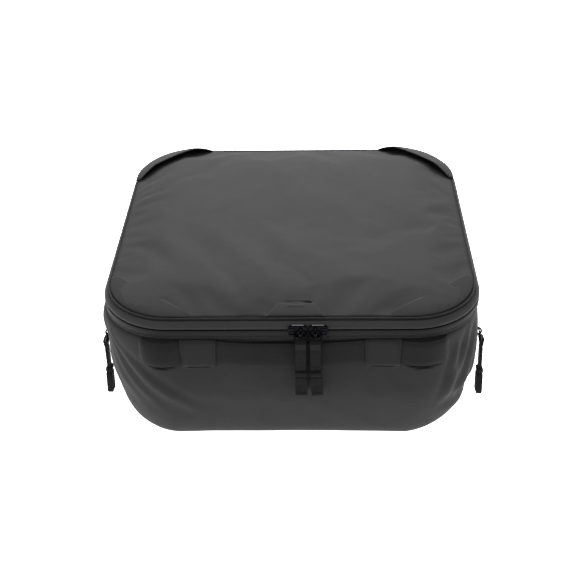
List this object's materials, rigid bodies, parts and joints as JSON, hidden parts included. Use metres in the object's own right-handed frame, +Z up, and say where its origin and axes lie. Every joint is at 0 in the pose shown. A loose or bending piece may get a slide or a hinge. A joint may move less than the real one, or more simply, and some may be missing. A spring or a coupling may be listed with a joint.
{
  "type": "packing cube",
  "caption": "Soft padded travel packing cube with a zipped, rear-hinged lid, a front webbing grab handle and a zipped pocket in each side wall.",
  "frame": {"origin": "on the floor, under the middle of the base", "axes": "+X to the right seen from the front, +Y to the rear where the lid is hinged, +Z up"},
  "size_m": [0.3848, 0.3443, 0.1696],
  "materials": {
    "shell_fabric": "charcoal woven nylon, matt with a faint sheen",
    "rim_tape": "coated zip tape and binding, smooth and slightly satin",
    "webbing": "black ribbed nylon webbing, matt",
    "lining": "grey polyester lining, matt",
    "foam": "soft closed foam, matt",
    "zip_coil": "black nylon coil, satin",
    "gunmetal": "black nickel plate, glossy",
    "rubber": "moulded soft rubber, satin"
  },
  "bodies": {
    "tub": {"tub_shell": "shell_fabric", "tub_lining": "lining", "front_foam_pad": "foam", "rear_foam_pad": "foam", "left_foam_pad": "foam", "right_foam_pad": "foam", "base_foam_pad": "foam", "lower_rim_band": "rim_tape", "lower_zip_coil": "zip_coil", "lower_hinge_leaf": "rim_tape", "handle_webbing": "webbing", "left_handle_keeper": "shell_fabric", "right_handle_keeper": "shell_fabric", "left_pocket_lower_tape": "rim_tape", "left_pocket_upper_tape": "rim_tape", "left_pocket_lower_coil": "zip_coil", "left_pocket_upper_coil": "zip_coil", "right_pocket_lower_tape": "rim_tape", "right_pocket_upper_tape": "rim_tape", "right_pocket_lower_coil": "zip_coil", "right_pocket_upper_coil": "zip_coil"},
    "lid": {"lid_panel": "shell_fabric", "lid_foam_pad": "foam", "lid_lining": "lining", "lid_seam_piping": "rim_tape", "upper_rim_band": "rim_tape", "upper_zip_coil": "zip_coil", "upper_hinge_leaf": "rim_tape", "front_left_corner_patch": "shell_fabric", "front_right_corner_patch": "shell_fabric", "rear_left_corner_pocket": "shell_fabric", "rear_right_corner_pocket": "shell_fabric", "lid_grip_patch": "rubber"},
    "front_left_slider": {"front_left_slider": "gunmetal"},
    "front_left_ring": {"front_left_pull_ring": "gunmetal"},
    "front_left_pull": {"front_left_pull_strap": "webbing", "front_left_pull_grip": "rubber"},
    "front_right_slider": {"front_right_slider": "gunmetal"},
    "front_right_ring": {"front_right_pull_ring": "gunmetal"},
    "front_right_pull": {"front_right_pull_strap": "webbing", "front_right_pull_grip": "rubber"},
    "left_pocket_slider": {"left_pocket_slider": "gunmetal"},
    "left_pocket_ring": {"left_pocket_pull_ring": "gunmetal"},
    "left_pocket_pull": {"left_pocket_pull_strap": "webbing", "left_pocket_pull_grip": "rubber"},
    "right_pocket_slider": {"right_pocket_slider": "gunmetal"},
    "right_pocket_ring": {"right_pocket_pull_ring": "gunmetal"},
    "right_pocket_pull": {"right_pocket_pull_strap": "webbing", "right_pocket_pull_grip": "rubber"}
  },
  "joints": [
    {"name": "lid_hinge", "type": "hinge", "parent": "tub", "child": "lid", "pos_m": [0, 0.1674, 0.148], "axis": [-1, 0, 0], "range_deg": [0, 170]},
    {"name": "front_left_slide", "type": "slide", "parent": "tub", "child": "front_left_slider", "axis": [-1, 0, 0], "range_m": [0, 0.1]},
    {"name": "front_left_ring_swing", "type": "hinge", "parent": "front_left_slider", "child": "front_left_ring", "pos_m": [0.0096, -0.1709, 0.148], "axis": [-1, 0, 0], "range_deg": [0, 90]},
    {"name": "front_left_pull_swing", "type": "hinge", "parent": "front_left_ring", "child": "front_left_pull", "pos_m": [0.0096, -0.17389, 0.13898], "axis": [-1, 0, 0], "range_deg": [0, 85]},
    {"name": "front_right_slide", "type": "slide", "parent": "tub", "child": "front_right_slider", "axis": [1, 0, 0], "range_m": [0, 0.075]},
    {"name": "front_right_ring_swing", "type": "hinge", "parent": "front_right_slider", "child": "front_right_ring", "pos_m": [0.0228, -0.1709, 0.148], "axis": [-1, 0, 0], "range_deg": [0, 90]},
    {"name": "front_right_pull_swing", "type": "hinge", "parent": "front_right_ring", "child": "front_right_pull", "pos_m": [0.0228, -0.17389, 0.13898], "axis": [-1, 0, 0], "range_deg": [0, 85]},
    {"name": "left_pocket_slide", "type": "slide", "parent": "tub", "child": "left_pocket_slider", "axis": [0, 1, 0], "range_m": [0, 0.164]},
    {"name": "left_pocket_ring_swing", "type": "hinge", "parent": "left_pocket_slider", "child": "left_pocket_ring", "pos_m": [-0.1862, -0.0866, 0.086], "axis": [0, 1, 0], "range_deg": [0, 90]},
    {"name": "left_pocket_pull_swing", "type": "hinge", "parent": "left_pocket_ring", "child": "left_pocket_pull", "pos_m": [-0.18919, -0.0866, 0.07698], "axis": [0, 1, 0], "range_deg": [0, 85]},
    {"name": "right_pocket_slide", "type": "slide", "parent": "tub", "child": "right_pocket_slider", "axis": [0, 1, 0], "range_m": [0, 0.164]},
    {"name": "right_pocket_ring_swing", "type": "hinge", "parent": "right_pocket_slider", "child": "right_pocket_ring", "pos_m": [0.1862, -0.0866, 0.086], "axis": [0, -1, 0], "range_deg": [0, 90]},
    {"name": "right_pocket_pull_swing", "type": "hinge", "parent": "right_pocket_ring", "child": "right_pocket_pull", "pos_m": [0.18919, -0.0866, 0.07698], "axis": [0, -1, 0], "range_deg": [0, 85]}
  ]
}
